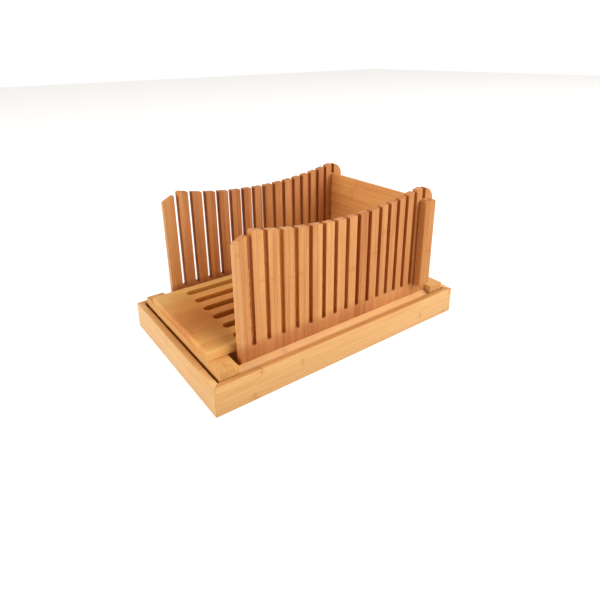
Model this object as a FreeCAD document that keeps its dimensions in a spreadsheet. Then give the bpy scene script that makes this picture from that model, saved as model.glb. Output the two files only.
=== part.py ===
import FreeCAD, Part
import os
import re
import Sketcher

# Bamboo bread slicing guide: a crumb tray, a hinged frame that lifts out of it,
# a slotted cutting board, two slotted knife guides and a movable back board.
# Axes: +X to the right guide, +Y from the open front to the back board, +Z up.
# Origin: middle of the tray's underside.

doc = FreeCAD.newDocument("bread_slicing_guide")

# ---------------------------------------------------------------- sizes (mm)
SIZES = [
    # crumb tray
    ("tray_length", "370"), ("tray_width", "226"), ("tray_height", "35"), ("tray_wall", "8.2"),
    ("floor_thickness", "6"), ("floor_rabbet", "4"), ("tray_edge_radius", "1.2"),
    # hinged frame
    ("frame_side_gap", "1"), ("frame_end_gap", "3"),
    ("crossbar_depth", "23.4"), ("crossbar_height", "37.8"), ("crossbar_edge_radius", "0.5"),
    ("stretcher_width", "20"), ("stretcher_thickness", "6"), ("stretcher_spread", "50"),
    ("stretcher_tenon", "8"),
    # knife guides
    ("rail_wall_gap", "2.2"), ("rail_width", "8.4"), ("guide_thickness", "8.6"),
    ("rail_top", "37"), ("rail_slope_drop", "5.7"), ("rail_end_gap", "1"),
    ("guide_front_gap", "7.9"), ("guide_rear_gap", "0.6"),
    ("slot_width", "5.6"), ("slot_floor_drop", "1"), ("front_tine", "14.3"), ("rear_tine_least", "12"),
    ("coarse_pitch", "19.2"), ("coarse_copies", "5"), ("middle_pitch", "17.3"), ("middle_copies", "5"),
    ("fine_pitch", "15.1"),
    ("arch_low", "171"), ("arch_radius", "570"), ("arch_middle", "3"),
    ("front_slope_length", "22.5"), ("front_slope_drop", "11"), ("slope_radius", "3"),
    ("rear_corner_radius", "18"), ("tine_radius", "1.4"),
    # hinges
    ("pin_radius", "2"), ("pin_fit", "0.05"), ("pin_grip", "12"), ("bore_end_room", "1"),
    ("right_pivot_height", "17.8"), ("left_pivot_height", "30"),
    ("right_panel_below", "8.8"), ("left_panel_below", "12"),
    ("right_rail_below", "3.8"), ("left_rail_below", "5"),
    # cutting board
    ("board_side_gap", "6.7"), ("board_thickness", "10.6"), ("board_edge_radius", "2.2"),
    ("board_slot_width", "10.8"), ("board_slot_pitch", "25"), ("board_slot_middle", "2.8"),
    ("board_slot_end", "39.5"), ("board_slot_edge", "7"),
    ("batten_width", "11"), ("batten_height", "6.5"), ("batten_gap", "0.4"), ("batten_inset", "8"),
    # back board
    ("back_thickness", "4.4"), ("back_height", "116.1"), ("post_side_gap", "0.4"),
    ("post_thickness", "10.5"), ("post_depth", "19.2"), ("post_setback", "2"),
    ("post_hang", "1.4"), ("post_step", "1"), ("post_groove", "6"), ("post_edge_radius", "1.5"),
]
# places worked out from the sizes
PLACES = [
    ("tray_half_x", "tray_width / 2"), ("tray_half_y", "tray_length / 2"),
    ("inner_half_x", "tray_half_x - tray_wall"), ("inner_half_y", "tray_half_y - tray_wall"),
    ("floor_half_x", "inner_half_x + floor_rabbet"), ("floor_half_y", "inner_half_y + floor_rabbet"),
    ("bar_half_x", "inner_half_x - frame_side_gap"), ("bar_outer_y", "inner_half_y - frame_end_gap"),
    ("bar_inner_y", "bar_outer_y - crossbar_depth"),
    ("bar_top", "floor_thickness + crossbar_height"), ("board_top", "bar_top + board_thickness"),
    ("rail_outer_x", "inner_half_x - rail_wall_gap"), ("guide_outer_x", "rail_outer_x - rail_width"),
    ("guide_inner_x", "guide_outer_x - guide_thickness"),
    ("pivot_x", "guide_outer_x - guide_thickness / 2"),
    ("guide_front", "guide_front_gap - bar_inner_y"), ("guide_rear", "bar_inner_y - guide_rear_gap"),
    ("right_panel_foot", "right_pivot_height - right_panel_below"),
    ("left_panel_foot", "left_pivot_height - left_panel_below"),
    ("right_rail_foot", "right_pivot_height - right_rail_below"),
    ("left_rail_foot", "left_pivot_height - left_rail_below"),
    ("rail_top_outer", "rail_top - rail_slope_drop"),
    # the top is a shallow arc: a straight slope meets it in front, a rounded corner runs into it behind
    ("arch_centre", "arch_low + arch_radius"),
    ("front_meet_y", "guide_front + front_slope_length"),
    ("front_meet_z", "arch_centre - sqrt(arch_radius^2 - (arch_middle - front_meet_y)^2)"),
    ("front_edge_z", "front_meet_z - front_slope_drop"),
    ("rear_centre_y", "guide_rear - rear_corner_radius"),
    ("rear_centre_z", "arch_centre - sqrt((arch_radius + rear_corner_radius)^2"
                      " - (rear_centre_y - arch_middle)^2)"),
    ("rear_share", "rear_corner_radius / (arch_radius + rear_corner_radius)"),
    ("rear_meet_y", "rear_centre_y - rear_share * (rear_centre_y - arch_middle)"),
    ("rear_meet_z", "rear_centre_z + rear_share * (arch_centre - rear_centre_z)"),
    # knife slots: three groups of slice thickness, laid from the front, the last group as room allows
    ("slot_floor", "board_top - slot_floor_drop"),
    ("coarse_low", "guide_front + front_tine"), ("coarse_high", "coarse_low + slot_width"),
    ("middle_low", "coarse_low + coarse_copies * coarse_pitch"), ("middle_high", "middle_low + slot_width"),
    ("fine_low", "middle_low + middle_copies * middle_pitch"), ("fine_high", "fine_low + slot_width"),
    ("fine_copies", "1 + floor((guide_rear - rear_tine_least - fine_high) / fine_pitch)"),
    ("last_slot", "fine_low + (fine_copies - 1) * fine_pitch + slot_width / 2"),
    ("board_half_x", "guide_inner_x - board_side_gap"),
    ("board_slot_half", "board_slot_width / 2"), ("board_slot_half_y", "bar_outer_y - board_slot_end"),
    ("board_slot_centre_y", "board_slot_half_y - board_slot_half"),
    ("board_slot_room", "2 * (board_half_x - board_slot_edge - abs(board_slot_middle)) - board_slot_width"),
    ("board_slot_copies", "1 + floor(board_slot_room / board_slot_pitch)"),
    ("board_slot_first", "board_slot_middle - board_slot_pitch * (board_slot_copies - 1) / 2"),
    ("board_slot_left", "board_slot_first - board_slot_half"),
    ("board_slot_right", "board_slot_first + board_slot_half"),
    ("batten_half_x", "board_half_x - batten_inset"), ("batten_outer_y", "bar_inner_y - batten_gap"),
    ("batten_inner_y", "batten_outer_y - batten_width"),
    ("post_inner_x", "guide_outer_x + post_side_gap"), ("post_outer_x", "post_inner_x + post_thickness"),
    ("back_half_x", "post_inner_x + post_groove"), ("back_top", "board_top + back_height"),
    ("back_front_y", "last_slot - back_thickness / 2"), ("back_rear_y", "last_slot + back_thickness / 2"),
    ("post_front_y", "last_slot + post_setback - post_depth / 2"),
    ("post_rear_y", "post_front_y + post_depth"),
    ("post_foot", "board_top - post_hang"), ("post_top", "back_top - post_step"),
]
WORDS = {name for name, _ in SIZES + PLACES}


def bound(text):
    """The expression text with each named size read from the sheet."""
    def named(match):
        word = match.group()
        return "Sizes." + word if word in WORDS else word
    return re.sub(r"[a-z][a-z_]*", named, text)


sheet = doc.addObject("Spreadsheet::Sheet", "Sizes")
row = 0
for name, text in SIZES:
    row += 1
    sheet.set("A%d" % row, name)
    sheet.set("B%d" % row, text)
    sheet.setAlias("B%d" % row, name)
doc.recompute()
for name, text in PLACES:
    row += 1
    sheet.set("A%d" % row, name)
    sheet.set("B%d" % row, "=" + text)
    sheet.setAlias("B%d" % row, name)
    doc.recompute()


def size(name):
    """The number behind a name in the sheet; a leading minus sign turns it over."""
    return -float(sheet.get(name[1:])) if name[0] == "-" else float(sheet.get(name))


# ------------------------------------------------------------ building tools
ALONG_Y = FreeCAD.Placement(FreeCAD.Vector(), FreeCAD.Rotation(FreeCAD.Vector(1, 0, 0), -90))


def near(a, b):
    return abs(a - b) < 1e-3


def new_body(label, x="0"):
    """A body named after its piece, moved along X by the expression x."""
    body = doc.addObject("PartDesign::Body", label)
    body.Label = label
    body.setExpression("Placement.Base.x", bound(x))
    return body


def block(body, kind, name, low, high):
    """An additive or subtractive box between two corners given as expressions."""
    solid = body.newObject("PartDesign::%sBox" % kind, name)
    for prop, start, end in zip(("Length", "Width", "Height"), low, high):
        solid.setExpression(prop, bound("(%s) - (%s)" % (end, start)))
    for axis, start in zip("xyz", low):
        solid.setExpression("Placement.Base." + axis, bound(start))
    doc.recompute()
    return solid


def bore(body, name, x, y, z, radius, depth):
    """A round hole along +Y that starts at the point (x, y, z)."""
    hole = body.newObject("PartDesign::SubtractiveCylinder", name)
    hole.Placement = ALONG_Y
    hole.setExpression("Radius", bound(radius))
    hole.setExpression("Height", bound(depth))
    for axis, start in zip("xyz", (x, y, z)):
        hole.setExpression("Placement.Base." + axis, bound(start))
    doc.recompute()
    return hole


def new_sketch(body, plane_role, name):
    """An empty sketch on one of the body's own origin planes."""
    sketch = body.newObject("Sketcher::SketchObject", name)
    plane = [p for p in body.Origin.OriginFeatures if p.Role == plane_role][0]
    sketch.AttachmentSupport = (plane, [""])
    sketch.MapMode = "FlatFace"
    return sketch


def pin_point(sketch, geometry, end, across, up):
    """Holds one end of a line or arc at two named places."""
    for kind, name in (("DistanceX", across), ("DistanceY", up)):
        number = sketch.addConstraint(Sketcher.Constraint(kind, -1, 1, geometry, end, size(name)))
        sketch.setExpression("Constraints[%d]" % number, bound(name))


def spot(across, up):
    """The sketch point at two named places."""
    return FreeCAD.Vector(size(across), size(up), 0)


def closed_outline(sketch, curves):
    """Joins curves end to end; each comes with the names of its starting place."""
    starts = []
    for curve, (across, up) in curves:
        number = sketch.addGeometry(curve, False)
        # an arc may be stored turned round, so its start is looked up
        first = sketch.getPoint(number, 1)
        start = 1 if near(first.x, size(across)) and near(first.y, size(up)) else 2
        starts.append((number, start))
    for i, (number, start) in enumerate(starts):
        after, after_start = starts[(i + 1) % len(starts)]
        sketch.addConstraint(Sketcher.Constraint("Coincident", number, 3 - start, after, after_start))
        pin_point(sketch, number, start, *curves[i][1])


def polygon(sketch, corners):
    """A closed outline through corners, each a pair of names."""
    after = corners[1:] + corners[:1]
    closed_outline(sketch, [(Part.LineSegment(spot(*a), spot(*b)), a) for a, b in zip(corners, after)])


def pad(body, sketch, name, length):
    """Raises a sketch into a solid."""
    feature = body.newObject("PartDesign::Pad", name)
    feature.Profile = sketch
    feature.setExpression("Length", bound(length))
    sketch.Visibility = False
    doc.recompute()
    return feature


def pocket(body, sketch, name, length):
    """Cuts a sketch out of the body, on the side that the sketch faces."""
    before = body.Shape.Volume
    feature = body.newObject("PartDesign::Pocket", name)
    feature.Profile = sketch
    feature.Reversed = True
    feature.setExpression("Length", bound(length))
    sketch.Visibility = False
    doc.recompute()
    if body.Shape.Volume >= before:
        raise RuntimeError("%s cuts nothing" % name)
    return feature


def repeat(body, feature, sketch, axis, name, pitch, copies):
    """Repeats a feature along a sketch axis; one copy needs no pattern."""
    if size(copies) < 1.5:
        return feature
    pattern = body.newObject("PartDesign::LinearPattern", name)
    pattern.Originals = [feature]
    pattern.Direction = (sketch, [axis])
    pattern.setExpression("Length", bound("%s * (%s - 1)" % (pitch, copies)))
    pattern.setExpression("Occurrences", bound(copies))
    body.Tip = pattern
    doc.recompute()
    return pattern


def round_edges(body, name, radius, chosen):
    """Fillets the straight edges whose middle point and direction satisfy a test."""
    tip = body.Tip
    edges = []
    for number, edge in enumerate(tip.Shape.Edges, 1):
        middle = edge.valueAt((edge.FirstParameter + edge.LastParameter) / 2)
        along = edge.tangentAt(edge.FirstParameter)
        if chosen(middle, along):
            edges.append("Edge%d" % number)
    fillet = body.newObject("PartDesign::Fillet", name)
    fillet.Base = (tip, edges)
    fillet.setExpression("Radius", bound(radius))
    doc.recompute()
    return fillet


# ------------------------------------------------------------------ the tray
# Four walls mitred at the corners, with a rabbet along the foot for the floor panel.
def tray_wall(label, corners, long_axis):
    body = new_body(label)
    outline = new_sketch(body, "XY_Plane", label + "_outline")
    polygon(outline, corners)
    pad(body, outline, label + "_pad", "tray_height")
    rabbet = new_sketch(body, "XY_Plane", label + "_rabbet")
    polygon(rabbet, [("-floor_half_x", "-floor_half_y"), ("floor_half_x", "-floor_half_y"),
                     ("floor_half_x", "floor_half_y"), ("-floor_half_x", "floor_half_y")])
    pocket(body, rabbet, label + "_rabbet_cut", "floor_thickness")

    def top_edge(middle, along):
        return near(middle.z, size("tray_height")) and near(abs(along[long_axis]), 1)

    round_edges(body, label + "_edges", "tray_edge_radius", top_edge)
    return body


pieces = []
for label, side in (("tray_left_wall", "-"), ("tray_right_wall", "")):
    pieces.append(tray_wall(label, [
        (side + "tray_half_x", "-tray_half_y"), (side + "tray_half_x", "tray_half_y"),
        (side + "inner_half_x", "inner_half_y"), (side + "inner_half_x", "-inner_half_y")], 1))
for label, side in (("tray_front_wall", "-"), ("tray_rear_wall", "")):
    pieces.append(tray_wall(label, [
        ("-tray_half_x", side + "tray_half_y"), ("tray_half_x", side + "tray_half_y"),
        ("inner_half_x", side + "inner_half_y"), ("-inner_half_x", side + "inner_half_y")], 0))

tray_floor = new_body("tray_floor")
block(tray_floor, "Additive", "tray_floor_panel", ("-floor_half_x", "-floor_half_y", "0"),
      ("floor_half_x", "floor_half_y", "floor_thickness"))
pieces.append(tray_floor)

# ---------------------------------------------------------- the hinged frame
# Two crossbars joined by two flat stretchers; steel pins in the crossbars carry the guides.
for label, low_y, high_y, end in (("front_crossbar", "-bar_outer_y", "-bar_inner_y", "front"),
                                  ("rear_crossbar", "bar_inner_y", "bar_outer_y", "rear")):
    bar = new_body(label)
    block(bar, "Additive", label + "_bar", ("-bar_half_x", low_y, "floor_thickness"),
          ("bar_half_x", high_y, "bar_top"))
    round_edges(bar, label + "_edges", "crossbar_edge_radius",
                lambda middle, along: near(middle.z, size("bar_top")) and near(abs(along.x), 1))
    for side, sign in (("left", "-"), ("right", "")):
        centre = sign + "stretcher_spread"
        hole_start = "-bar_inner_y - pin_grip" if end == "front" else "bar_inner_y"
        bore(bar, "%s_%s_bore" % (label, side), sign + "pivot_x", hole_start, side + "_pivot_height",
             "pin_radius", "pin_grip")
        seat_low = "-bar_inner_y - stretcher_tenon" if end == "front" else "bar_inner_y"
        block(bar, "Subtractive", "%s_%s_mortise" % (label, side),
              (centre + " - stretcher_width / 2", seat_low, "floor_thickness"),
              (centre + " + stretcher_width / 2", seat_low + " + stretcher_tenon",
               "floor_thickness + stretcher_thickness"))
    pieces.append(bar)

for side, sign in (("left", "-"), ("right", "")):
    centre = sign + "stretcher_spread"
    stretcher = new_body(side + "_stretcher")
    block(stretcher, "Additive", side + "_stretcher_slat",
          (centre + " - stretcher_width / 2", "-bar_inner_y - stretcher_tenon", "floor_thickness"),
          (centre + " + stretcher_width / 2", "bar_inner_y + stretcher_tenon",
           "floor_thickness + stretcher_thickness"))
    pieces.append(stretcher)

for side, sign in (("left", "-"), ("right", "")):
    pins = []
    for end, start, stop in (("front", "-bar_inner_y - pin_grip", "guide_front + pin_grip"),
                             ("rear", "guide_rear - pin_grip", "bar_inner_y + pin_grip")):
        pin = doc.addObject("Part::Cylinder", "%s_%s_pin" % (side, end))
        pin.Placement = ALONG_Y
        pin.setExpression("Radius", bound("pin_radius"))
        pin.setExpression("Height", bound("(%s) - (%s)" % (stop, start)))
        for axis, at in zip("xyz", (sign + "pivot_x", start, side + "_pivot_height")):
            pin.setExpression("Placement.Base." + axis, bound(at))
        pins.append(pin)
    pair = doc.addObject("Part::Compound", side + "_hinge_pins")
    pair.Label = side + "_hinge_pins"
    pair.Links = pins
    doc.recompute()
    pieces.append(pair)


# ---------------------------------------------------------- the knife guides
# Each guide is a slotted panel with a sloped foot rail glued along its outer face.
def guide_outline(body, label, foot):
    """The panel's side view: a sagging top edge that slopes off in front and rounds off behind."""
    outline = new_sketch(body, "YZ_Plane", label + "_outline")
    front_foot, rear_foot = ("guide_front", foot), ("guide_rear", foot)
    front_edge, rear_edge = ("guide_front", "front_edge_z"), ("guide_rear", "rear_centre_z")
    front_meet, rear_meet = ("front_meet_y", "front_meet_z"), ("rear_meet_y", "rear_meet_z")
    # a point midway round the rear corner
    crown = spot("rear_centre_y", "rear_centre_z") + (
        FreeCAD.Vector(1, 1, 0).normalize() * size("rear_corner_radius"))
    closed_outline(outline, [
        (Part.LineSegment(spot(*front_foot), spot(*rear_foot)), front_foot),
        (Part.LineSegment(spot(*rear_foot), spot(*rear_edge)), rear_foot),
        (Part.Arc(spot(*rear_edge), crown, spot(*rear_meet)), rear_edge),
        (Part.Arc(spot(*rear_meet), spot("arch_middle", "arch_low"), spot(*front_meet)), rear_meet),
        (Part.LineSegment(spot(*front_meet), spot(*front_edge)), front_meet),
        (Part.LineSegment(spot(*front_edge), spot(*front_foot)), front_edge)])
    for number, radius in ((2, "rear_corner_radius"), (3, "arch_radius")):
        held = outline.addConstraint(Sketcher.Constraint("Radius", number, size(radius)))
        outline.setExpression("Constraints[%d]" % held, bound(radius))
    return outline


for side, place in (("left", "-guide_outer_x"), ("right", "guide_inner_x")):
    label = side + "_guide_panel"
    panel = new_body(label, place)
    pad(panel, guide_outline(panel, label, side + "_panel_foot"), label + "_pad", "guide_thickness")
    round_edges(panel, label + "_slope", "slope_radius",
                lambda middle, along: near(abs(along.x), 1)
                and (near(middle.z, size("front_edge_z")) or near(middle.z, size("front_meet_z"))))
    slot_edges = []
    for group in ("coarse", "middle", "fine"):
        low, high = group + "_low", group + "_high"
        cut = new_sketch(panel, "YZ_Plane", "%s_%s_slot" % (label, group))
        polygon(cut, [(low, "slot_floor"), (high, "slot_floor"),
                      (high, "arch_centre"), (low, "arch_centre")])
        slot = pocket(panel, cut, "%s_%s_cut" % (label, group), "guide_thickness")
        repeat(panel, slot, cut, "H_Axis", "%s_%s_slots" % (label, group), group + "_pitch",
               group + "_copies")
        for i in range(round(size(group + "_copies"))):
            slot_edges += [size(low) + i * size(group + "_pitch"), size(high) + i * size(group + "_pitch")]
    round_edges(panel, label + "_tines", "tine_radius",
                lambda middle, along: near(abs(along.x), 1) and middle.z > size("slot_floor") + 1
                and any(near(middle.y, y) for y in slot_edges))
    bore(panel, label + "_front_bore", "guide_thickness / 2", "guide_front", side + "_pivot_height",
         "pin_radius + pin_fit", "pin_grip + bore_end_room")
    bore(panel, label + "_rear_bore", "guide_thickness / 2", "guide_rear - pin_grip - bore_end_room",
         side + "_pivot_height", "pin_radius + pin_fit", "pin_grip + bore_end_room")
    pieces.append(panel)

for side, sign in (("left", "-"), ("right", "")):
    label = side + "_guide_rail"
    rail = new_body(label)
    rail.setExpression("Placement.Base.y", bound("bar_inner_y - rail_end_gap"))
    section = new_sketch(rail, "XZ_Plane", label + "_section")
    inner, outer, foot = sign + "guide_outer_x", sign + "rail_outer_x", side + "_rail_foot"
    polygon(section, [(inner, foot), (outer, foot), (outer, "rail_top_outer"), (inner, "rail_top")])
    pad(rail, section, label + "_pad", "2 * (bar_inner_y - rail_end_gap)")
    pieces.append(rail)

# --------------------------------------------------------- the cutting board
# A slotted board laid loose on the crossbars; two battens under it keep it from sliding.
board = new_body("slotted_board")
block(board, "Additive", "slotted_board_plank", ("-board_half_x", "-bar_outer_y", "bar_top"),
      ("board_half_x", "bar_outer_y", "board_top"))
round_edges(board, "slotted_board_edges", "board_edge_radius",
            lambda middle, along: near(middle.z, size("board_top")))
board_slot = new_sketch(board, "XY_Plane", "slotted_board_slot")
left_front = ("board_slot_left", "-board_slot_centre_y")
left_rear = ("board_slot_left", "board_slot_centre_y")
right_front, right_rear = ("board_slot_right", left_front[1]), ("board_slot_right", left_rear[1])
closed_outline(board_slot, [
    (Part.LineSegment(spot(*right_front), spot(*right_rear)), right_front),
    (Part.Arc(spot(*right_rear), spot("board_slot_first", "board_slot_half_y"), spot(*left_rear)),
     right_rear),
    (Part.LineSegment(spot(*left_rear), spot(*left_front)), left_rear),
    (Part.Arc(spot(*left_front), spot("board_slot_first", "-board_slot_half_y"), spot(*right_front)),
     left_front)])
for number, place in ((1, "board_slot_centre_y"), (3, "-board_slot_centre_y")):
    held = board_slot.addConstraint(Sketcher.Constraint("DistanceY", -1, 1, number, 3, size(place)))
    board_slot.setExpression("Constraints[%d]" % held, bound(place))
first_slot = pocket(board, board_slot, "slotted_board_cut", "board_top + board_thickness")
repeat(board, first_slot, board_slot, "H_Axis", "slotted_board_slots", "board_slot_pitch",
       "board_slot_copies")
pieces.append(board)

for label, low_y, high_y in (("front_batten", "-batten_outer_y", "-batten_inner_y"),
                             ("rear_batten", "batten_inner_y", "batten_outer_y")):
    batten = new_body(label)
    block(batten, "Additive", label + "_strip", ("-batten_half_x", low_y, "bar_top - batten_height"),
          ("batten_half_x", high_y, "bar_top"))
    pieces.append(batten)

# ------------------------------------------------------------ the back board
# A thin panel dropped into the last pair of slots, held by a grooved post outside each guide.
back_panel = new_body("back_panel")
block(back_panel, "Additive", "back_panel_plate", ("-back_half_x", "back_front_y", "board_top"),
      ("back_half_x", "back_rear_y", "back_top"))
pieces.append(back_panel)

for side, low_x, high_x, groove_low, groove_high in (
        ("left", "-post_outer_x", "-post_inner_x", "-back_half_x", "-post_inner_x"),
        ("right", "post_inner_x", "post_outer_x", "post_inner_x", "back_half_x")):
    label = "back_%s_post" % side
    post = new_body(label)
    block(post, "Additive", label + "_strip", (low_x, "post_front_y", "post_foot"),
          (high_x, "post_rear_y", "post_top"))
    outer = size("post_outer_x") * (1 if side == "right" else -1)
    round_edges(post, label + "_edges", "post_edge_radius",
                lambda middle, along: near(middle.x, outer) or near(middle.z, size("post_top"))
                and near(abs(along.x), 1))
    block(post, "Subtractive", label + "_groove", (groove_low, "back_front_y", "board_top"),
          (groove_high, "back_rear_y", "back_top"))
    pieces.append(post)

# ------------------------------------------------------- checks and STEP files
doc.recompute()
for item in doc.Objects:
    if "Invalid" in item.State or "Error" in item.State:
        raise RuntimeError("%s failed: %s" % (item.Name, item.State))
os.makedirs("parts", exist_ok=True)
for piece in pieces:
    if piece.Shape.isNull() or not piece.Shape.isValid() or not piece.Shape.Solids:
        raise RuntimeError("%s has no sound shape" % piece.Label)
    piece.Shape.exportStep("parts/%s.step" % piece.Label)
    print("%-18s solids %d volume %10.1f" % (piece.Label, len(piece.Shape.Solids), piece.Shape.Volume))
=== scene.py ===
import bpy
import math
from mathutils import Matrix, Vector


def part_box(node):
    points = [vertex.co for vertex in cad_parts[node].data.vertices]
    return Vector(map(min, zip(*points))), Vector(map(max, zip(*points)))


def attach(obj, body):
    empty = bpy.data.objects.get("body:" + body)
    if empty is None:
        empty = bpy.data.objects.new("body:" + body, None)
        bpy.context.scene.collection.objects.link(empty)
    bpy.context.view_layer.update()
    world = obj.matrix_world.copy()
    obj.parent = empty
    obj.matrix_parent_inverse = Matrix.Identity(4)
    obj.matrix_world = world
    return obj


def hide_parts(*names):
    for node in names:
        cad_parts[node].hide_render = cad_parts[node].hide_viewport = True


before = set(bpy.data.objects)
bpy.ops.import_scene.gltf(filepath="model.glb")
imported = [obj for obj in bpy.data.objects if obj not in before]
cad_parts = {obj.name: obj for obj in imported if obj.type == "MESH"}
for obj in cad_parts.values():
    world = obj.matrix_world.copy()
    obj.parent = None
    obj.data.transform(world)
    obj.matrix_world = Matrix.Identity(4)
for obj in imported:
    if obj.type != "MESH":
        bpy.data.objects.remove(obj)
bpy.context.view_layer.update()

# ---- Camera
# A short lens a little above the open front corner of the tray, on the right guide's side.
bpy.ops.object.select_all(action="DESELECT")
bpy.ops.object.camera_add(location=(0.48863, -0.35243, 0.35201),
                          rotation=(math.radians(69.054), math.radians(0.945), math.radians(54.672)))
camera = bpy.context.object
camera.name = "bench_camera"
camera.data.sensor_width = 36
camera.data.lens = 29.498
camera.data.shift_x = 0.01726
camera.data.shift_y = -0.10561
camera.data.clip_start = 0.02
bpy.context.scene.camera = camera
bpy.context.scene.view_settings.view_transform = "Standard"

# ---- Crumb tray walls
# Four bamboo slats on edge, glued in mitres at the corners. The top edges are rounded over,
# and a rabbet along the inside of the foot takes the floor panel.


def plank(name, low, high):
    """A block between two corners, its place in its mesh."""
    bpy.ops.object.select_all(action="DESELECT")
    bpy.ops.mesh.primitive_cube_add(size=1, location=[(a + b) / 2 for a, b in zip(low, high)],
                                    scale=[b - a for a, b in zip(low, high)])
    bpy.ops.object.transform_apply(location=True, rotation=True, scale=True)
    piece = bpy.context.object
    piece.name = piece.data.name = name
    return piece


def near(a, b, slack=1e-5):
    """Whether two places agree, in metres."""
    return abs(a - b) < slack


def pick(piece, kind, chosen):
    """Enters edit mode with the vertices, edges or faces of the piece that satisfy a test selected."""
    bpy.ops.object.mode_set(mode="EDIT")
    bpy.ops.mesh.select_mode(type=kind)
    bpy.ops.mesh.select_all(action="DESELECT")
    bpy.ops.object.mode_set(mode="OBJECT")
    mesh = piece.data
    if kind == "VERT":
        for vertex in mesh.vertices:
            vertex.select = chosen(vertex.co)
    elif kind == "EDGE":
        for edge in mesh.edges:
            start, end = (mesh.vertices[i].co for i in edge.vertices)
            edge.select = chosen((start + end) / 2, (end - start).normalized())
    else:
        for face in mesh.polygons:
            face.select = chosen(face.center, face.normal)
    bpy.ops.object.mode_set(mode="EDIT")


def round_over(piece, radius, steps, chosen):
    """Rounds the edges that satisfy a test of middle point and direction."""
    pick(piece, "EDGE", chosen)
    bpy.ops.mesh.bevel(offset=radius, segments=steps, affect="EDGES", clamp_overlap=True)
    bpy.ops.object.mode_set(mode="OBJECT")


def cut_away(piece, cutter):
    """Takes the cutter's shape out of the piece and throws the cutter away."""
    bpy.ops.object.select_all(action="DESELECT")
    bpy.context.view_layer.objects.active = piece
    piece.select_set(True)
    cut = piece.modifiers.new("cut", "BOOLEAN")
    cut.object = cutter
    cut.solver = "EXACT"
    bpy.ops.object.modifier_apply(modifier=cut.name)
    bpy.data.objects.remove(cutter)


def sand(piece, radius, steps=2, angle=35):
    """Eases every sharp edge that is left, and shades the piece smooth between its edges."""
    bpy.ops.object.select_all(action="DESELECT")
    bpy.context.view_layer.objects.active = piece
    piece.select_set(True)
    ease = piece.modifiers.new("ease", "BEVEL")
    ease.width = radius
    ease.segments = steps
    ease.limit_method = "ANGLE"
    ease.angle_limit = math.radians(angle)
    bpy.ops.object.modifier_apply(modifier=ease.name)
    bpy.ops.object.shade_smooth_by_angle(angle=math.radians(50))


def fit(piece, body, node, finish):
    """The finished piece takes its node's place, moves with its body and gets its finish."""
    piece.data.materials.clear()
    piece.data.materials.append(finish)
    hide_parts(node)
    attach(piece, body)


def socket(group, name, kind, way, value=None):
    made = group.interface.new_socket(name=name, in_out=way, socket_type="NodeSocket" + kind)
    if value is not None:
        made.default_value = value
    return made


class Wiring:
    """Adds shader nodes to one tree and joins them up."""

    def __init__(self, tree):
        self.tree = tree
        tree.nodes.clear()

    def add(self, kind, wires=(), **settings):
        node = self.tree.nodes.new("ShaderNode" + kind)
        for name, value in settings.items():
            setattr(node, name, value)
        for key, value in dict(wires).items():
            if isinstance(value, bpy.types.NodeSocket):
                self.tree.links.new(value, node.inputs[key])
            else:
                node.inputs[key].default_value = value
        return node

    def calc(self, operation, *values, clamp=False):
        node = self.add("Math", enumerate(values), operation=operation, use_clamp=clamp)
        return node.outputs[0]

    def blend(self, amount, a, b, mode="MIX"):
        node = self.tree.nodes.new("ShaderNodeMix")
        node.data_type = "RGBA"
        node.blend_type = mode
        for key, value in ((0, amount), (6, a), (7, b)):
            if isinstance(value, bpy.types.NodeSocket):
                self.tree.links.new(value, node.inputs[key])
            else:
                node.inputs[key].default_value = value
        return node.outputs[2]

    def ramp(self, value, low, high, start=0.0, end=1.0):
        inputs = {0: value, 1: low, 2: high, 3: start, 4: end}
        node = self.add("MapRange", inputs, interpolation_type="SMOOTHSTEP")
        return node.outputs[0]


# Pressed bamboo: strips glued side by side, each with its own tone, long fibres and a few culm nodes.
# Place has the grain along x, the strips side by side along y and their thickness along z, in metres.
grain = bpy.data.node_groups.new("bamboo_grain", "ShaderNodeTree")
socket(grain, "Place", "Vector", "INPUT")
socket(grain, "Strip Width", "Float", "INPUT", 0.018)
socket(grain, "Strip Depth", "Float", "INPUT", 0.006)
socket(grain, "Light", "Color", "INPUT", (0.8, 0.5, 0.2, 1))
socket(grain, "Dark", "Color", "INPUT", (0.5, 0.25, 0.1, 1))
socket(grain, "Strip Contrast", "Float", "INPUT", 0.5)
socket(grain, "Streaks", "Float", "INPUT", 0.5)
socket(grain, "Node Gap", "Float", "INPUT", 0.28)
socket(grain, "Node Marks", "Float", "INPUT", 0.6)
socket(grain, "Seed", "Float", "INPUT", 0.0)
socket(grain, "Sawn Across", "Float", "INPUT", 0.0)
socket(grain, "End Tone", "Float", "INPUT", 0.5)
socket(grain, "Color", "Color", "OUTPUT")
socket(grain, "Roughness", "Float", "OUTPUT")
socket(grain, "Height", "Float", "OUTPUT")
w = Wiring(grain)
given = grain.nodes.new("NodeGroupInput")
result = grain.nodes.new("NodeGroupOutput")
place = w.add("SeparateXYZ", {0: given.outputs["Place"]})
along, across, deep = place.outputs
strip_place = w.calc("DIVIDE", across, given.outputs["Strip Width"])
layer_place = w.calc("DIVIDE", deep, given.outputs["Strip Depth"])
strip = w.calc("FLOOR", strip_place)
layer = w.calc("FLOOR", layer_place)
cell = w.add("CombineXYZ", {0: strip, 1: layer, 2: given.outputs["Seed"]})
chance = w.add("TexWhiteNoise", {"Vector": cell.outputs[0]}, noise_dimensions="3D")
chances = w.add("SeparateColor", {0: chance.outputs["Color"]})
shift = w.calc("MULTIPLY", chances.outputs[0], 37.0)
own_along = w.calc("ADD", along, shift)


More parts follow.
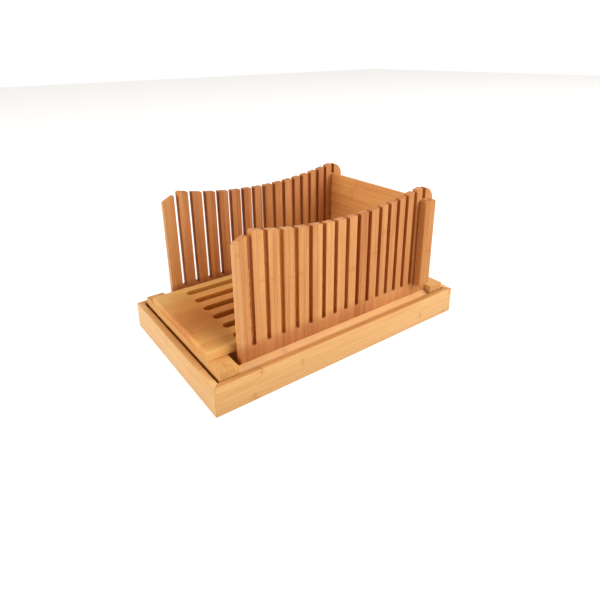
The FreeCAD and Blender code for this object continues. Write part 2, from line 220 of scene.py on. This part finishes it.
def fibres_drawn(lengthwise, crosswise, detail, roughness):
    """A noise drawn out along the grain, by how often it changes along and across it."""
    spot = w.add("CombineXYZ", {0: w.calc("MULTIPLY", own_along, lengthwise),
                                1: w.calc("MULTIPLY", across, crosswise),
                                2: w.calc("MULTIPLY", deep, crosswise)})
    noise = w.add("TexNoise", {"Vector": spot.outputs[0], "Scale": 1.0, "Detail": detail,
                               "Roughness": roughness})
    return noise.outputs[0]


# fibres, from broad bands to flecks, and slow clouds of tone
broad = fibres_drawn(5.0, 190.0, 2.0, 0.55)
fine = fibres_drawn(16.0, 900.0, 3.0, 0.6)
fleck = fibres_drawn(75.0, 2400.0, 1.0, 0.5)
cloud = fibres_drawn(9.0, 28.0, 2.0, 0.5)
# each strip's own tone, then the fibres over it
own_tone = w.calc("SUBTRACT", chances.outputs[1], 0.5)
strip_tone = w.calc("MULTIPLY", own_tone, given.outputs["Strip Contrast"])
streak = w.calc("MULTIPLY", w.calc("SUBTRACT", broad, 0.5), given.outputs["Streaks"])
hair_strength = w.calc("MULTIPLY", given.outputs["Streaks"], 0.9)
hair = w.calc("MULTIPLY", w.calc("SUBTRACT", fine, 0.5), hair_strength)
drift = w.calc("MULTIPLY", w.calc("SUBTRACT", cloud, 0.5), 0.7)
marks = w.calc("ADD", w.calc("ADD", streak, hair), drift)
tone = w.calc("ADD", w.calc("ADD", 0.5, strip_tone), marks, clamp=True)
colour = w.blend(tone, given.outputs["Light"], given.outputs["Dark"])
flecks = w.ramp(fleck, 0.60, 0.72, 0.0, 0.28)
colour = w.blend(flecks, colour, (0.45, 0.22, 0.10, 1), "MULTIPLY")
# culm nodes: a thin dark line across the strip, a pale band beside it and short specks around
wander = w.calc("MULTIPLY", w.calc("SUBTRACT", broad, 0.5), 0.007)
node_place = w.calc("ADD", w.calc("DIVIDE", w.calc("ADD", along, wander), given.outputs["Node Gap"]),
                   w.calc("MULTIPLY", chances.outputs[2], 7.0))
node_share = w.calc("SUBTRACT", w.calc("FRACT", node_place), 0.5)
node_off = w.calc("MULTIPLY", node_share, given.outputs["Node Gap"])
node_far = w.calc("ABSOLUTE", node_off)
broken = w.ramp(fine, 0.3, 0.65, 0.15, 1.0)
line = w.calc("MULTIPLY", w.ramp(node_far, 0.0004, 0.0026, 1.0, 0.0), broken)
halo = w.ramp(node_far, 0.001, 0.009, 1.0, 0.0)
speck = w.calc("MULTIPLY", halo, w.ramp(fleck, 0.46, 0.62, 0.0, 1.0))
darkest = w.calc("MAXIMUM", line, w.calc("MULTIPLY", speck, 0.9))
mark = w.calc("MULTIPLY", darkest, given.outputs["Node Marks"])
colour = w.blend(w.calc("MULTIPLY", halo, 0.25), colour, given.outputs["Light"])
colour = w.blend(mark, colour, (0.72, 0.50, 0.34, 1), "MULTIPLY")
# glue lines between strips
edge_a = w.calc("ABSOLUTE", w.calc("SUBTRACT", w.calc("FRACT", w.calc("ADD", strip_place, 0.5)), 0.5))
glue_far = w.calc("MULTIPLY", edge_a, given.outputs["Strip Width"])
glue = w.ramp(glue_far, 0.00005, 0.0003, 0.35, 0.0)
colour = w.blend(glue, colour, (0.5, 0.28, 0.14, 1), "MULTIPLY")
# a cut across the grain shows the fibre bundles as dark dots and drinks more oil
bundle_place = w.add("CombineXYZ", {0: 0.0, 1: w.calc("MULTIPLY", across, 1100.0),
                                    2: w.calc("MULTIPLY", deep, 1100.0)})
bundle = w.add("TexVoronoi", {"Vector": bundle_place.outputs[0], "Scale": 1.0}, feature="F1")
dots = w.ramp(bundle.outputs["Distance"], 0.18, 0.42, 1.0, 0.35)
open_ends = w.calc("MULTIPLY", given.outputs["Sawn Across"], given.outputs["End Tone"])
colour = w.blend(w.calc("MULTIPLY", open_ends, dots), colour, (0.66, 0.55, 0.46, 1), "MULTIPLY")
rough = w.calc("ADD", w.calc("MULTIPLY", fine, 0.22), w.calc("MULTIPLY", tone, 0.08))
raised = w.calc("ADD", w.calc("MULTIPLY", fine, 0.6), w.calc("MULTIPLY", broad, 0.25))
sunk = w.calc("ADD", w.calc("MULTIPLY", glue, 0.8), w.calc("MULTIPLY", line, 0.25))
height = w.calc("SUBTRACT", raised, sunk)
grain.links.new(colour, result.inputs["Color"])
grain.links.new(w.calc("ADD", rough, 0.34), result.inputs["Roughness"])
grain.links.new(height, result.inputs["Height"])

# Handling darkens and smooths bamboo's edges: a soft mask along every edge, broken up by noise.
# Narrow gaps and corners are darkened as painted shade, by ambient occlusion.
wear_and_shade_group = bpy.data.node_groups.new("handled_edges_and_painted_shade", "ShaderNodeTree")
socket(wear_and_shade_group, "Color", "Color", "INPUT", (0.8, 0.5, 0.2, 1))
socket(wear_and_shade_group, "Edge Color", "Color", "INPUT", (0.5, 0.3, 0.1, 1))
socket(wear_and_shade_group, "Amount", "Float", "INPUT", 0.5)
socket(wear_and_shade_group, "Reach", "Float", "INPUT", 0.002)
socket(wear_and_shade_group, "Gap Color", "Color", "INPUT", (0.42, 0.2, 0.09, 1))
socket(wear_and_shade_group, "Color", "Color", "OUTPUT")
socket(wear_and_shade_group, "Mask", "Float", "OUTPUT")
w = Wiring(wear_and_shade_group)
given = wear_and_shade_group.nodes.new("NodeGroupInput")
result = wear_and_shade_group.nodes.new("NodeGroupOutput")
facing = w.add("NewGeometry")
softened = w.add("Bevel", {"Radius": given.outputs["Reach"]}, samples=4)
likeness = w.add("VectorMath", {0: softened.outputs[0], 1: facing.outputs["Normal"]},
                 operation="DOT_PRODUCT")
near_edge = w.ramp(likeness.outputs["Value"], 0.93, 0.999, 1.0, 0.0)
spots = w.add("TexCoord")
patchy = w.add("TexNoise", {"Vector": spots.outputs["Object"], "Scale": 60.0, "Detail": 3.0})
handled = w.calc("MULTIPLY", near_edge, w.ramp(patchy.outputs[0], 0.3, 0.6))
mask = w.calc("MULTIPLY", handled, given.outputs["Amount"])
worn = w.blend(mask, given.outputs["Color"], given.outputs["Edge Color"])
# painted shade: ambient occlusion darkens narrow gaps and corners towards the gap colour
narrow = w.add("AmbientOcclusion", {"Distance": 0.012}, samples=6)
painted_gap_shade = w.ramp(narrow.outputs["AO"], 0.02, 0.42, 1.0, 0.0)
worn_and_shaded = w.blend(painted_gap_shade, worn, given.outputs["Gap Color"], "MULTIPLY")
wear_and_shade_group.links.new(worn_and_shaded, result.inputs["Color"])
wear_and_shade_group.links.new(mask, result.inputs["Mask"])


def linear(red, green, blue):
    """A colour seen on screen, 0 to 255, as the shader wants it."""
    parts = [((c / 255 + 0.055) / 1.055) ** 2.4 if c > 10 else c / 3294 for c in (red, green, blue)]
    return tuple(parts) + (1,)


ALONG_X, ALONG_Y, ALONG_Z = (0, 0, 0), (0, 0, -math.pi / 2), (0, math.pi / 2, 0)
WOOD_SHEEN = 0.22


def bamboo(name, turn, light, dark, strip_width, strip_depth, contrast=0.5, streaks=0.9, node_gap=0.3,
           node_marks=0.6, seed=0.0, edge=(170, 105, 55), edge_amount=0.35, offset=(0, 0, 0), sawn=None,
           bands=(), ends=0.5, foot=None):
    """An oiled bamboo finish; turn lays the grain along an axis, sawn darkens the saw cuts, partly as the
    cut's own tone and partly as painted shade in the slots, bands tint the strips by their place across
    the grain, in metres, as strip tone and as painted light and shade, ends is how dark the end grain has
    drunk, and foot tints what stands low down in the front half."""
    finish = bpy.data.materials.new(name)
    finish.use_nodes = True
    w = Wiring(finish.node_tree)
    where = w.add("TexCoord")
    laid = w.add("Mapping", {"Vector": where.outputs["Object"], "Location": offset, "Rotation": turn},
                 vector_type="POINT")
    fibres = w.tree.nodes.new("ShaderNodeGroup")
    fibres.node_tree = grain
    w.tree.links.new(laid.outputs[0], fibres.inputs["Place"])
    turned = w.add("Mapping", {"Vector": where.outputs["Normal"], "Rotation": turn}, vector_type="VECTOR")
    facing = w.add("SeparateXYZ", {0: turned.outputs[0]})
    end_grain = w.ramp(w.calc("ABSOLUTE", facing.outputs[0]), 0.75, 0.97)
    w.tree.links.new(end_grain, fibres.inputs["Sawn Across"])
    settings = {"Strip Width": strip_width, "Strip Depth": strip_depth, "Light": linear(*light),
                "Dark": linear(*dark), "Strip Contrast": contrast, "Streaks": streaks,
                "Node Gap": node_gap, "Node Marks": node_marks, "Seed": seed, "End Tone": ends}
    for key, value in settings.items():
        fibres.inputs[key].default_value = value
    colour = fibres.outputs["Color"]
    sheen = WOOD_SHEEN
    if bands:
        spread = bands[-1][0] - bands[0][0]
        side = w.add("SeparateXYZ", {0: laid.outputs[0]})
        from_first = w.calc("SUBTRACT", side.outputs[1], bands[0][0])
        tint = w.add("ValToRGB", {0: w.calc("DIVIDE", from_first, spread)})
        tint.color_ramp.interpolation = "EASE"
        for i, (place, shade) in enumerate(bands):
            stops = tint.color_ramp.elements
            stop = stops[i] if i < 2 else stops.new(1.0)
            stop.position = (place - bands[0][0]) / spread
            stop.color = linear(*shade)
        colour = w.blend(1.0, colour, tint.outputs[0], "MULTIPLY")
    if foot:
        spot = w.add("SeparateXYZ", {0: where.outputs["Object"]})
        reach = w.calc("MULTIPLY", w.ramp(spot.outputs[2], 0.048, 0.064, 1.0, 0.0),
                      w.ramp(spot.outputs[1], 0.0, 0.09, 1.0, 0.0))
        colour = w.blend(reach, colour, linear(*foot), "MULTIPLY")
    if sawn:
        # saw-cut faces darker: partly the cut's own tone, partly painted shade in the slots
        cut = w.add("Attribute", attribute_name="sawn", attribute_type="GEOMETRY")
        uneven = w.add("TexNoise", {"Vector": where.outputs["Object"], "Scale": 140.0, "Detail": 3.0})
        blotch = w.ramp(uneven.outputs[0], 0.25, 0.7, 0.72, 1.0)
        cut_tone_and_shade = w.calc("MULTIPLY", cut.outputs["Fac"], blotch)
        colour = w.blend(cut_tone_and_shade, colour, linear(*sawn), "MULTIPLY")
        sheen = w.calc("SUBTRACT", WOOD_SHEEN, w.calc("MULTIPLY", cut.outputs["Fac"], 0.17))
    # worn edges, and painted shade in narrow gaps and corners
    edges = w.tree.nodes.new("ShaderNodeGroup")
    edges.node_tree = wear_and_shade_group
    w.tree.links.new(colour, edges.inputs["Color"])
    edges.inputs["Edge Color"].default_value = linear(*edge)
    edges.inputs["Amount"].default_value = edge_amount
    edges.inputs["Reach"].default_value = 0.0012
    relief = w.add("Bump", {"Strength": 0.35, "Distance": 0.00012, "Height": fibres.outputs["Height"]})
    rubbed = w.calc("MULTIPLY", edges.outputs["Mask"], 0.12)
    shine = w.calc("SUBTRACT", fibres.outputs["Roughness"], rubbed)
    surface = w.add("BsdfPrincipled", {
        "Base Color": edges.outputs["Color"], "Roughness": shine, "Normal": relief.outputs[0],
        "IOR": 1.46, "Specular IOR Level": sheen, "Coat Weight": 0.03, "Coat Roughness": 0.3})
    w.add("OutputMaterial", {"Surface": surface.outputs[0]})
    return finish


# The long walls' bands leave the outer faces plain and darken the tops and inner faces: painted shade on
# the tops.
tray_long = bamboo("tray_long_wall_bamboo", ALONG_Y, (244, 196, 134), (226, 168, 100), 0.0175, 0.0088,
                   contrast=0.35, streaks=1.3, node_gap=0.31, seed=3.0, node_marks=0.75, bands=(
                       (-0.113, (255, 255, 255)), (-0.1115, (232, 222, 205)), (0.1115, (232, 222, 205)),
                       (0.113, (255, 255, 255))))
tray_short = bamboo("tray_short_wall_bamboo", ALONG_X, (249, 205, 146), (231, 175, 108), 0.0088, 0.0175,
                    contrast=0.35, streaks=1.1, node_gap=0.27, seed=8.0, node_marks=0.5)
WALL_ROUND = 0.0012
floor_low, floor_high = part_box("tray_floor")
wall_finishes = {"left": tray_long, "right": tray_long, "front": tray_short, "rear": tray_short}
for side, finish in wall_finishes.items():
    node = "tray_%s_wall" % side
    low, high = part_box(node)
    wall = plank("crumb_tray_%s_wall" % side, low, high)
    lengthwise = 1 if side in ("left", "right") else 0
    inward = 1 - lengthwise
    sign = 1 if side in ("left", "front") else -1
    inner_face = (high if sign > 0 else low)[inward]
    thick = high[inward] - low[inward]
    # the mitres: each inner end corner moves in by the wall's thickness
    for end, place in ((1, low[lengthwise]), (-1, high[lengthwise])):
        pick(wall, "VERT", lambda v: near(v[inward], inner_face) and near(v[lengthwise], place))
        shift = [0, 0, 0]
        shift[lengthwise] = end * thick
        bpy.ops.transform.translate(value=shift)
        bpy.ops.object.mode_set(mode="OBJECT")
    round_over(wall, WALL_ROUND, 3,
               lambda middle, along: near(middle.z, high[2]) and abs(along[lengthwise]) > 0.99)
    cut_away(wall, plank("floor_space", [floor_low[0], floor_low[1], -0.01], list(floor_high)))
    sand(wall, 0.00022)
    fit(wall, "tray", node, finish)

# ---- Crumb tray floor
# One wide pressed panel let into the walls' rabbet, flush with their feet. It keeps its solid's shape.
floor_finish = bamboo("tray_floor_bamboo", ALONG_Y, (210, 148, 82), (182, 116, 58), 0.02, 0.006,
                      contrast=0.5, seed=12.0)


def finish_node(node, finish):
    """A solid that stays as it is gets its real finish in every slot."""
    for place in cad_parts[node].material_slots:
        place.material = finish


finish_node("tray_floor", floor_finish)

# ---- Frame crossbars
# Two bars of glued strips, deeper than wide, that lie across the tray's ends and carry everything else.
bar_finish = bamboo("crossbar_bamboo", ALONG_X, (234, 182, 111), (206, 144, 78), 0.0078, 0.0125,
                    contrast=0.45, streaks=1.0, node_gap=0.19, seed=21.0, ends=1.0)
BAR_ROUND = 0.0005
for end in ("front", "rear"):
    node = end + "_crossbar"
    low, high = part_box(node)
    bar = plank("frame_%s_bar" % end, low, high)
    for side in ("left", "right"):
        slat_low, slat_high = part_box(side + "_stretcher")
        cut_away(bar, plank("mortise", [slat_low[0], slat_low[1], slat_low[2] - 0.01], list(slat_high)))
    round_over(bar, BAR_ROUND, 2, lambda middle, along: near(middle.z, high[2]))
    sand(bar, 0.0003)
    fit(bar, "base_frame", node, bar_finish)

# ---- Stretchers and battens
# Flat slats near the tray's floor join the crossbars; two thin battens under the slotted board stop it
# sliding. All are plain planed strips, hidden in use, and keep their solids' shapes.
slat_finish = bamboo("stretcher_bamboo", ALONG_Y, (205, 144, 78), (176, 110, 54), 0.01, 0.006, seed=31.0)
batten_finish = bamboo("batten_bamboo", ALONG_X, (205, 144, 78), (176, 110, 54), 0.011, 0.0065, seed=33.0)
for node in ("left_stretcher", "right_stretcher"):
    finish_node(node, slat_finish)
for node in ("front_batten", "rear_batten"):
    finish_node(node, batten_finish)

# ---- Hinge pins
# Cut lengths of drawn steel rod, pressed into the crossbars; each guide turns on two of them.
pin_finish = bpy.data.materials.new("drawn_steel_pin")
pin_finish.use_nodes = True
w = Wiring(pin_finish.node_tree)
where = w.add("TexCoord")
drawn = w.add("Mapping", {"Vector": where.outputs["Object"], "Scale": (2600, 25, 2600)})
scratches = w.add("TexNoise", {"Vector": drawn.outputs[0], "Scale": 1.0, "Detail": 3.0})
tarnish = w.add("TexNoise", {"Vector": where.outputs["Object"], "Scale": 90.0, "Detail": 2.0})
dull = w.ramp(scratches.outputs[0], 0.3, 0.7, 0.26, 0.42)
tarnished = w.ramp(tarnish.outputs[0], 0.35, 0.7)
steel_colour = w.blend(tarnished, (0.62, 0.62, 0.62, 1), (0.5, 0.49, 0.47, 1))
rod_relief = w.add("Bump", {"Strength": 0.3, "Distance": 0.00003, "Height": scratches.outputs[0]})
rod = w.add("BsdfPrincipled", {"Base Color": steel_colour, "Metallic": 1.0, "Roughness": dull,
                               "Normal": rod_relief.outputs[0]})
w.add("OutputMaterial", {"Surface": rod.outputs[0]})
for node in ("left_hinge_pins", "right_hinge_pins"):
    finish_node(node, pin_finish)

# ---- Guide panels
# Each is a pressed bamboo board with upright grain, sawn into tines by sixteen knife slots. The top edge
# sags, slopes off in front and rounds off behind, and every tine's tip is eased so that a blade drops in.
SLOT_WIDTH = 0.0056
FRONT_TINE = 0.0143
SLOT_STEPS = [0.0192] * 5 + [0.0173] * 5 + [0.0151] * 5
SLOT_FLOOR = 0.0534
ARCH_LOW, ARCH_RADIUS, ARCH_MIDDLE = 0.171, 0.57, 0.003
SLOPE_LENGTH, SLOPE_DROP, SLOPE_ROUND = 0.0225, 0.011, 0.003
REAR_ROUND, TINE_ROUND, SLOT_FLOOR_ROUND = 0.018, 0.0014, 0.0016
# how far the cutting shapes stand past the panel's faces and past its front edge
SPARE, SLOPE_SPARE = 0.005, 0.01
PLAIN, UPPER = (255, 255, 255), (238, 222, 212)


def note_cuts(piece, chosen):
    """Writes which faces lie in a saw cut into the piece's own attribute."""
    cut = piece.data.attributes.new("sawn", "FLOAT", "FACE")
    for i, face in enumerate(piece.data.polygons):
        cut.data[i].value = 1.0 if chosen(face.center, face.normal) else 0.0


guide_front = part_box("right_guide_panel")[0][1]
slot_starts = [guide_front + FRONT_TINE]
for step in SLOT_STEPS:
    slot_starts.append(slot_starts[-1] + step)


def in_slot(y, margin=0.0002):
    return any(start - margin < y < start + SLOT_WIDTH + margin for start in slot_starts)


for side, seed, light, dark, middle_tone in (
        ("left", 40.0, (227, 171, 108), (189, 122, 69), (222, 200, 184)),
        ("right", 47.0, (242, 184, 121), (201, 133, 77), (250, 244, 238))):
    node = side + "_guide_panel"
    low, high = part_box(node)
    panel = plank(side + "_knife_guide", low, high)
    round_over(panel, REAR_ROUND, 12, lambda middle, along: abs(along.x) > 0.99
               and middle.z > high[2] - 1e-4 and middle.y > 0.14)
    arch_centre = ((low[0] + high[0]) / 2, ARCH_MIDDLE, ARCH_LOW + ARCH_RADIUS)
    bpy.ops.object.select_all(action="DESELECT")
    bpy.ops.mesh.primitive_cylinder_add(vertices=720, radius=ARCH_RADIUS, depth=0.05,
                                        location=arch_centre, rotation=(0, math.pi / 2, 0))
    bpy.ops.object.transform_apply(location=True, rotation=True, scale=True)
    cut_away(panel, bpy.context.object)
    # the slope: a block whose underside runs from the front edge up to the sagging top
    crest_y = low[1] + SLOPE_LENGTH
    crest_z = ARCH_LOW + ARCH_RADIUS - math.sqrt(ARCH_RADIUS ** 2 - (ARCH_MIDDLE - crest_y) ** 2)
    waste = plank("slope_waste", [low[0] - SPARE, low[1] - SLOPE_SPARE, crest_z],
                  [high[0] + SPARE, crest_y, high[2] + 0.01])
    pick(waste, "VERT", lambda v: v.y < low[1] and v.z < crest_z + 1e-4)
    waste_drop = SLOPE_DROP * (SLOPE_LENGTH + SLOPE_SPARE) / SLOPE_LENGTH
    bpy.ops.transform.translate(value=(0, 0, -waste_drop))
    bpy.ops.object.mode_set(mode="OBJECT")
    cut_away(panel, waste)
    for turn, y, z in ((64, low[1], crest_z - SLOPE_DROP), (38, crest_y, crest_z)):
        reach = SLOPE_ROUND * math.tan(math.radians(turn / 2))
        round_over(panel, reach, 5, lambda middle, along: abs(along.x) > 0.99
                   and near(middle.y, y, 1e-4) and near(middle.z, z, 1e-4))
    for start in slot_starts:
        slot = plank("knife_slot", [low[0] - SPARE, start, SLOT_FLOOR],
                     [high[0] + SPARE, start + SLOT_WIDTH, high[2] + 0.01])
        round_over(slot, SLOT_FLOOR_ROUND, 4,
                   lambda middle, along: abs(along.x) > 0.99 and middle.z < SLOT_FLOOR + 1e-4)
        cut_away(panel, slot)
    mouths = [y for start in slot_starts for y in (start, start + SLOT_WIDTH)]
    round_over(panel, TINE_ROUND, 3, lambda middle, along: abs(along.x) > 0.99 and middle.z > 0.1
               and any(near(middle.y, y, 2e-5) for y in mouths))
    sand(panel, 0.0005)
    note_cuts(panel, lambda middle, normal: in_slot(middle.y) and abs(normal.y) > 0.9)
    # The front 4 mm keeps the plain colour while the rest is tinted darker: a painted highlight on the lit
    # front edge. The middle tone is the strips' own tone.
    bands = [(low[1], PLAIN), (low[1] + 0.004, PLAIN), (low[1] + 0.008, UPPER),
             (low[1] + 0.045, middle_tone), (low[1] + 0.12, middle_tone),
             (low[1] + 0.17, UPPER), (high[1], UPPER)]
    finish = bamboo(side + "_guide_bamboo", ALONG_Z, light, dark, 0.0195, 0.0052, contrast=0.5,
                    streaks=1.1, node_gap=0.22, node_marks=0.5, seed=seed, ends=0.1,
                    sawn=(250, 238, 205), foot=(222, 200, 186), bands=bands)
    fit(panel, side + "_guide", node, finish)

# ---- Foot rails
# A bamboo strip with a sloped top, glued along the outside of each guide's foot. It fills most of the
# gap to the tray's wall and turns with the guide.
RAIL_DROP = 0.0057
rail_finish = bamboo("foot_rail_bamboo", ALONG_Y, (238, 190, 132), (220, 163, 101), 0.0084, 0.012,
                     contrast=0.3, streaks=0.8, node_gap=0.34, seed=52.0)
for side, outer in (("left", 0), ("right", 1)):
    node = side + "_guide_rail"
    low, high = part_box(node)
    rail = plank(side + "_foot_rail", low, high)
    outer_face = (low, high)[outer][0]
    pick(rail, "VERT", lambda v: near(v.x, outer_face) and near(v.z, high[2]))
    bpy.ops.transform.translate(value=(0, 0, -RAIL_DROP))
    bpy.ops.object.mode_set(mode="OBJECT")
    sand(rail, 0.0005)
    fit(rail, side + "_guide", node, rail_finish)

# ---- Slotted board
# The cutting board: strips of two tones glued edge to edge, with six long slots that let crumbs fall into
# the tray. It lies loose on the crossbars, and its upper edges are rounded.
CRUMB_SLOT_WIDTH, CRUMB_SLOT_PITCH, CRUMB_SLOT_SHIFT = 0.0108, 0.025, 0.0028
CRUMB_SLOT_END = 0.0395
BOARD_ROUND = 0.0022
low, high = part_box("slotted_board")
board = plank("crumb_board", low, high)
round_over(board, BOARD_ROUND, 4, lambda middle, along: near(middle.z, high[2]))
for i in range(6):
    centre = CRUMB_SLOT_SHIFT + (i - 2.5) * CRUMB_SLOT_PITCH
    slot = plank("crumb_slot", [centre - CRUMB_SLOT_WIDTH / 2, low[1] + CRUMB_SLOT_END, low[2] - 0.01],
                 [centre + CRUMB_SLOT_WIDTH / 2, high[1] - CRUMB_SLOT_END, high[2] + 0.01])
    round_over(slot, CRUMB_SLOT_WIDTH / 2 - 2e-5, 12, lambda middle, along: abs(along.z) > 0.99)
    cut_away(board, slot)
sand(board, 0.0006)
note_cuts(board, lambda middle, normal: abs(normal.z) < 0.5
          and low[1] + 0.03 < middle.y < high[1] - 0.03 and abs(middle.x) < high[0] - 0.004)
# The bands darken the board across the middle, most just right of centre: partly the strips' own tone,
# partly the painted shadow of the right guide. The sawn tint darkens the slot walls, partly as painted
# shade.
board_finish = bamboo("crumb_board_bamboo", ALONG_Y, (250, 205, 135), (228, 172, 100), 0.025, 0.0118,
                      contrast=0.5, streaks=1.0, node_gap=0.33, node_marks=0.45, seed=61.0,
                      offset=(0, 0.0096, 0),
                      ends=0.2, sawn=(222, 190, 135), bands=(
                          (-0.070, (255, 255, 250)), (-0.050, (252, 228, 200)), (-0.005, (228, 188, 160)),
                          (0.045, (233, 202, 172)), (0.070, (238, 228, 206))))
fit(board, "cutting_board", "slotted_board", board_finish)

# ---- Back board panel
# A thin panel with level grain that drops into the last pair of slots and stops the loaf.
low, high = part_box("back_panel")
stop = plank("back_stop_panel", low, high)
sand(stop, 0.0007, 3)
back_finish = bamboo("back_panel_bamboo", ALONG_X, (240, 178, 107), (214, 143, 76), 0.0044, 0.0195,
                     contrast=0.4, streaks=1.2, node_gap=0.3, seed=73.0)
fit(stop, "back_board", "back_panel", back_finish)

# ---- Back board posts
# A grooved strip glued on each end of the panel, outside the guide, so that the panel can't slip sideways.
post_finish = bamboo("back_post_bamboo", ALONG_Z, (221, 155, 90), (188, 119, 63), 0.019, 0.0105,
                     contrast=0.3, streaks=1.0, node_gap=0.26, seed=80.0)
POST_ROUND = 0.0015
groove_low, groove_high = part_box("back_panel")
for side, sign in (("left", -1), ("right", 1)):
    node = "back_%s_post" % side
    low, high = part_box(node)
    post = plank("back_stop_%s_post" % side, low, high)
    outer_face = (high if sign > 0 else low)[0]
    round_over(post, POST_ROUND, 4, lambda middle, along: near(middle.x, outer_face)
               or near(middle.z, high[2]) and abs(along.x) > 0.99)
    groove_top = groove_high[2] + 0.01
    cut_away(post, plank("groove", list(groove_low), [groove_high[0], groove_high[1], groove_top]))
    sand(post, 0.0003)
    fit(post, "back_board", node, post_finish)

# ---- Floor, lamps and surround
# A plain pale sheet under the tray and three large soft lamps.
bpy.ops.object.select_all(action="DESELECT")
bpy.ops.mesh.primitive_plane_add(size=12, location=(0, 0, -0.0002))
ground = bpy.context.object
ground.name = "studio_floor"
pale = bpy.data.materials.new("studio_paper")
pale.use_nodes = True
w = Wiring(pale.node_tree)
sight = w.add("LightPath")
seen = w.calc("MAXIMUM", w.calc("MAXIMUM", sight.outputs["Is Camera Ray"], sight.outputs["Is Glossy Ray"]),
             sight.outputs["Is Transmission Ray"])
paper = w.add("BsdfDiffuse", {"Color": (0.55, 0.55, 0.55, 1)})
glow = w.add("Emission", {"Color": (1, 1, 1, 1), "Strength": w.calc("MULTIPLY", seen, 0.75)})
both = w.add("AddShader", {0: paper.outputs[0], 1: glow.outputs[0]})
w.add("OutputMaterial", {"Surface": both.outputs[0]})
ground.data.materials.append(pale)

lamps = (("right_softbox", (3.35, 2.25, 2.8), 4.4, 4.4, 272.0),
         ("front_softbox", (-0.45, -2.45, 0.7), 2.0, 1.0, 48.0),
         ("top_softbox", (-0.2, 0.3, 1.7), 1.4, 1.4, 3.0))
for name, place, width, height, power in lamps:
    bpy.ops.object.select_all(action="DESELECT")
    bpy.ops.object.light_add(type="AREA", location=place)
    lamp = bpy.context.object
    lamp.name = name
    lamp.data.shape = "RECTANGLE"
    lamp.data.size = width
    lamp.data.size_y = height
    lamp.data.energy = power
    away = lamp.location.copy()
    away.z -= 0.07
    lamp.rotation_euler = away.to_track_quat("Z", "Y").to_euler()

surround = bpy.data.worlds.new("studio_surround")
bpy.context.scene.world = surround
surround.use_nodes = True
w = Wiring(surround.node_tree)
sight = w.add("LightPath")
seen = w.calc("MAXIMUM", w.calc("MAXIMUM", sight.outputs["Is Camera Ray"], sight.outputs["Is Glossy Ray"]),
             sight.outputs["Is Transmission Ray"])
soft = w.add("Background", {"Color": (1, 0.8, 0.58, 1), "Strength": 0.22})
white = w.add("Background", {"Color": (1, 1, 1, 1), "Strength": 1.0})
chosen = w.add("MixShader", {0: seen, 1: soft.outputs[0], 2: white.outputs[0]})
w.add("OutputWorld", {"Surface": chosen.outputs[0]})

bpy.ops.object.select_all(action="DESELECT")
